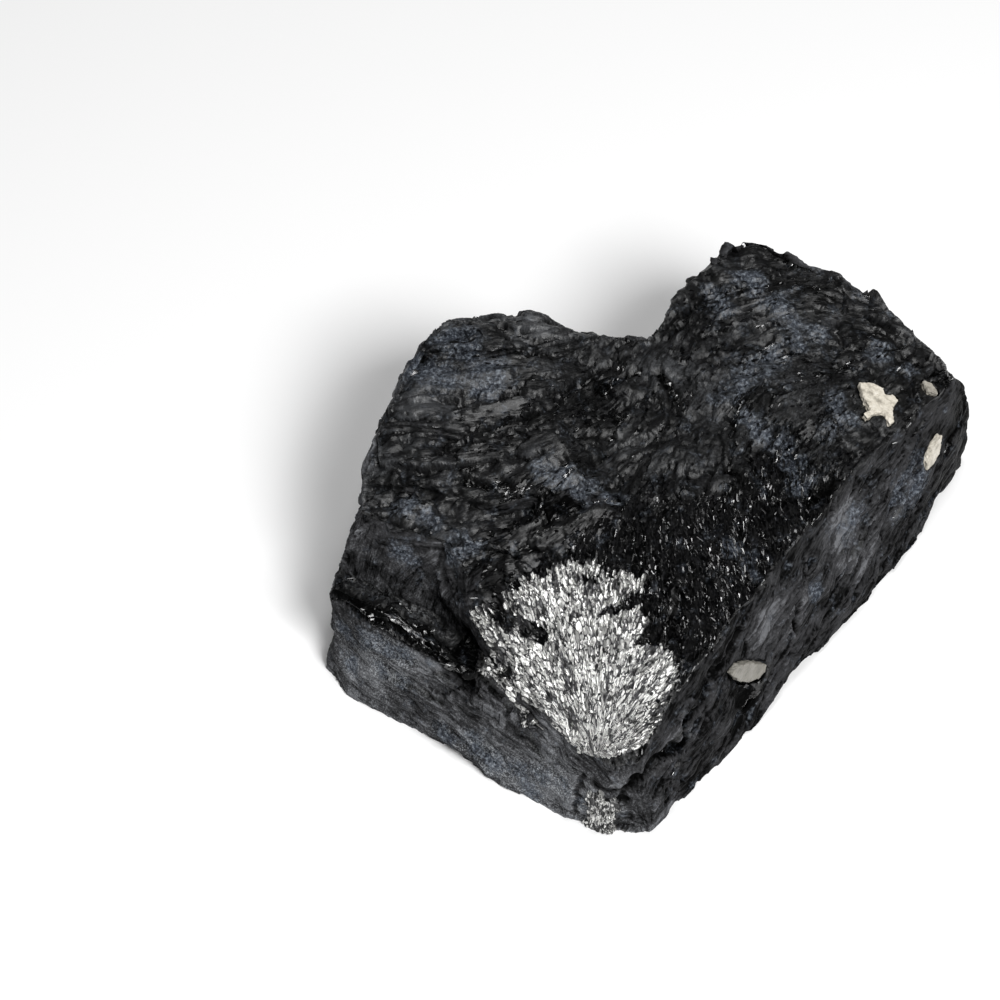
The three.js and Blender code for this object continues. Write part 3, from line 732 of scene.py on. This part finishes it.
# ---- what the materials read -------------------------------------------------------------------------
relief_shading = np.clip((move - evened(move, edges, 3)) / 0.08, -2, 2)  # how far a point stands out from those around
# deep painted shade in the grooves also takes the glassy black finish
fresh_or_shaded = (film < 0.28) & (facing[:, 2] > 0.78) | (painted_shade > 0.6)
# painted shade in the grooves: less film and a darker tone
film = film * np.exp(cloud) * (1 - painted_shade)
tone = np.clip(tone, 0, 1) * (1 - 0.8 * painted_shade)
spotted = bloom_at(skin)

# the crystals' own coordinates, for the striations: along, across, and a number per crystal
loop_vertex = read(mesh.loops, "vertex_index", 1, np.int32)
loop_total = read(mesh.polygons, "loop_total", 1, np.int32)
loop_first = read(mesh.polygons, "loop_start", 1, np.int32)
first = loop_vertex[loop_first]
loop_cell = np.repeat(grain_cell[first], loop_total)
delta = skin[loop_vertex] - grain_seeds[0][loop_cell]
ways = grain_seeds[2][loop_cell], np.cross(grain_seeds[1], grain_seeds[2])[loop_cell]
own = [(delta * way).sum(1) / 1000 for way in ways] + [streak[loop_cell]]
give(mesh, "grain", np.stack(own, 1), "FLOAT_VECTOR", "CORNER")
give(mesh, "side", np.cross(facing, run), "FLOAT_VECTOR")
give(mesh, "flow", flow, "FLOAT_VECTOR")
# painted light and shade for the materials: lighter where the skin stands out, darker in its hollows
give(mesh, "relief_shading", 0.11 * relief_shading)
# painted shade in the grooves also takes away the bloom and the specks
give(mesh, "bloom", spotted * (1 - painted_shade))
give(mesh, "film", film)
give(mesh, "specks", specks * (1 - painted_shade) * (0.4 + 0.6 * spotted))
# upper faces are satin, and so are the barest places and those in painted shade
bare = np.clip(0.9 - 1.9 * film, 0, 0.8)
give(mesh, "gloss", np.maximum.reduce([upward * np.clip(1 - 0.8 * specks, 0, 1), bare, painted_shade]))
# the sheaf's tone runs in strands, 7 mm long, and the column's in patches
strands = np.array([0.72 + 0.5 * noise.noise(Vector(p) * 0.35) for p in flow])
give(mesh, "tone", np.where(lit, np.where(column, 0.4 + 0.8 * clouds(skin, 1.6), strands), tone))
mesh.materials.clear()
for material in (GLASSY, DUSTY, LUSTRE_AND_HIGHLIGHT, WEATHERED):
    mesh.materials.append(material)
# the walls are weathered; above them the skin is glassy where it is fresh or deep in painted shade, and
# dusty elsewhere
kinds = np.where(facing[:, 2] + 0.2 * cloud < 0.55, 3, ~fresh_or_shaded)
mesh.polygons.foreach_set("material_index", np.where(lit, 2, kinds)[first].astype(np.int32))
mesh.set_sharp_from_angle(angle=0.7)

# ---- the mass as pieces ------------------------------------------------------------------------------
PIECES = {  # one above the other: the heights in mm between which each lies
    "tourmaline_foot": (-1, 8),
    "tourmaline_walls": (8, 24),
    "tourmaline_shoulders": (24, 38),
    "tourmaline_top": (38, 99),
}
centres = measured(read(mesh.polygons, "center"))
for name, (low, high) in PIECES.items():
    part = body.copy()
    part.data = mesh.copy()
    part.name = name
    bpy.context.collection.objects.link(part)
    outside = (centres[:, 2] < low) | (centres[:, 2] >= high)
    cut = bmesh.new()
    cut.from_mesh(part.data)
    cut.faces.ensure_lookup_table()
    bmesh.ops.delete(cut, geom=[cut.faces[i] for i in np.flatnonzero(outside)], context="FACES")
    cut.to_mesh(part.data)
    cut.free()
    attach(part, "root")
    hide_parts("tourmaline_mass")
bpy.data.objects.remove(body)

# ---- blades and scales -------------------------------------------------------------------------------
skin_tree = tree_of(skin)
RING = np.array([(-0.5, 0.05), (-0.28, 0.5), (0.3, 0.46), (0.5, -0.04), (0.27, -0.5), (-0.33, -0.45)])
ROOT = -0.9  # mm: how deep in the skin the blades start
STRAIGHT = 0.8  # the least cosine between the skin's normals along a blade that isn't cut short


def blades(name, spots, runs, lengths, widths, heights, pitch, roll, shrink, tones, material):
    """Many small crystals as one piece: each a six-sided blade with a leaning top face, laid on the skin."""
    half = runs * (lengths / 2)[:, None]
    middle, normal = skin[spots], facing[spots].copy()
    head = np.array([skin_tree.find(p)[1] for p in middle + half])
    tail = np.array([skin_tree.find(p)[1] for p in middle - half])
    bend = np.minimum((facing[head] * normal).sum(1), (facing[tail] * normal).sum(1))
    keep = chip_away[spots] > 1.2 + lengths * 0.3
    # where the skin turns, a blade is short and low; elsewhere it follows the skin's slope
    lengths = np.where(bend < STRAIGHT, np.minimum(lengths, 1.2), lengths)
    heights = np.where((bend < STRAIGHT) & ~lit[spots], heights - 0.3, heights)
    slope = skin[head] - skin[tail]
    slope /= np.linalg.norm(slope, axis=1, keepdims=True) + 1e-9
    straight = (bend >= STRAIGHT)[:, None]
    runs = np.where(straight, slope, runs)
    middle = np.where(straight, (skin[head] + skin[tail]) / 4 + middle / 2, middle)
    normal -= (normal * runs).sum(1, keepdims=True) * runs
    normal /= np.linalg.norm(normal, axis=1, keepdims=True)

    spots, middle, normal, runs = spots[keep], middle[keep], normal[keep], runs[keep]
    lengths, widths, heights, tones = lengths[keep], widths[keep], heights[keep], tones[keep]
    count = len(spots)
    across = np.cross(normal, runs)
    low = RING[None] * (1 + rng.normal(0, 0.14, (count, 6, 1)))
    high = low * (shrink + rng.normal(0, 0.05, (count, 6, 1)))
    pitches, rolls = rng.normal(0, pitch, (count, 1)), rng.normal(0, roll, (count, 1))
    level = heights[:, None] + pitches * high[:, :, 0] * lengths[:, None]
    level += rolls * high[:, :, 1] * widths[:, None]

    def lifted(outline, level):
        """The outlines at the blades' places and sizes, raised to their levels."""
        return (
            middle[:, None]
            + runs[:, None] * (outline[:, :, :1] * lengths[:, None, None])
            + across[:, None] * (outline[:, :, 1:] * widths[:, None, None])
            + normal[:, None] * level[:, :, None]
        )

    bottom = lifted(low, np.full((count, 6), ROOT))
    points = np.concatenate([bottom, lifted(high, np.maximum(level, ROOT + 0.05))], 1)
    points = np.clip(points.reshape(-1, 3), LOW, HIGH)
    b = 12 * np.arange(count)[:, None]
    sides = [np.concatenate([b + (i + 1) % 6, b + i, b + 6 + i, b + 6 + (i + 1) % 6], 1) for i in range(6)]
    faces = np.concatenate(sides).tolist() + (b + np.arange(6, 12)[None]).tolist()
    flake = bpy.data.meshes.new(name)
    flake.from_pydata(placed(points).tolist(), [], faces)
    flake.materials.append(material)
    both = np.concatenate([low, high], 1)
    give(flake, "grain", both.reshape(-1, 2) @ [[0.001, 0, 0], [0, 0.0005, 0]], "FLOAT_VECTOR")
    give(flake, "side", np.repeat(across, 12, 0), "FLOAT_VECTOR")
    own = both * np.stack([lengths / 2.5, widths / 0.6], 1)[:, None]
    number = np.broadcast_to(rng.uniform(0, 90, (count, 1, 1)), (count, 12, 1))
    give(flake, "flow", np.concatenate([own, number], 2), "FLOAT_VECTOR")
    give(flake, "tone", np.repeat(tones, 12))
    flake.update()
    piece = bpy.data.objects.new(name, flake)
    bpy.context.collection.objects.link(piece)
    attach(piece, "root")


# glassy splinters, thick where the skin is fresh and black
chance = np.clip(1.1 - 2.6 * film, 0.03, 1) * flat**3 * (1 - painted_shade)
chance = np.where(lit | (facing[:, 2] < 0.5), 0, chance)
spots = rng.choice(len(skin), 3500, p=chance / chance.sum())
count = len(spots)
blades(
    "glassy_splinters",
    spots,
    laid(run[spots] + rng.normal(0, 0.2, (count, 3)), facing[spots]),
    lengths=rng.uniform(0.7, 2.4, count),
    widths=rng.uniform(0.28, 0.6, count),
    heights=rng.normal(0.05, 0.12, count),
    pitch=0.2,
    roll=0.5,
    shrink=0.86,
    tones=np.full(count, 0.5),
    material=GLASSY,
)

# the sheaf: scales that spread from its focus, thick with bright ones, and knobs along its edges
spots = rng.choice(np.flatnonzero(lit), 1300)
near = [rng.choice(np.flatnonzero(np.linalg.norm(skin - k, axis=1) < 2.2), 30) for k in KNOBS]
near = np.concatenate(near)
tall = np.concatenate([rng.uniform(-0.1, 0.35, len(spots)), rng.uniform(0.2, 0.9, len(near))])
spots = np.concatenate([spots, near])
count = len(spots)
away = laid(skin[spots] - FOCUS + rng.normal(0, 2.2, (count, 3)), facing[spots])
bright = rng.random(count) + 0.8 * clouds(skin[spots], 3)
blades(
    "lustrous_sheaf",
    spots,
    away,
    lengths=rng.uniform(0.9, 2.8, count),
    widths=rng.uniform(0.4, 0.9, count),
    heights=tall,
    pitch=0.15,
    roll=0.3,
    shrink=0.75,
    tones=np.where(bright < 0.2, rng.uniform(0.2, 0.5, count), rng.uniform(0.7, 1, count)),
    material=LUSTRE_AND_HIGHLIGHT,
)

# ---- the feldspar chips ------------------------------------------------------------------------------
# How much of its cream colour each chip keeps, from 0 (greyed) to 1.
CHIP_CREAM = {"feldspar_side_chip": 0.1, "feldspar_leaf_chip": 1.0, "feldspar_sliver": 0.8}
for name in chips:
    chip = remeshed(name, CHIP_VOXEL)
    chip.name = name.replace("feldspar", "pale_feldspar")
    points = measured(read(chip.data.vertices, "co"))
    thin = np.linalg.svd(points - points.mean(0), full_matrices=False)[2][2]  # the way it is thinnest
    torn = wavy(points, 1.1, 0.2) - points + wavy(points, 0.5, 0.25) - points
    torn -= np.outer(torn @ thin, thin) * 0.8
    points = np.clip(points + torn, LOW, HIGH)
    write(chip.data, points)
    give(chip.data, "tone", np.full(len(points), CHIP_CREAM.get(name, 0.4)))
    chip.data.materials.clear()
    chip.data.materials.append(FELDSPAR)
    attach(chip, "root")
    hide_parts(name)
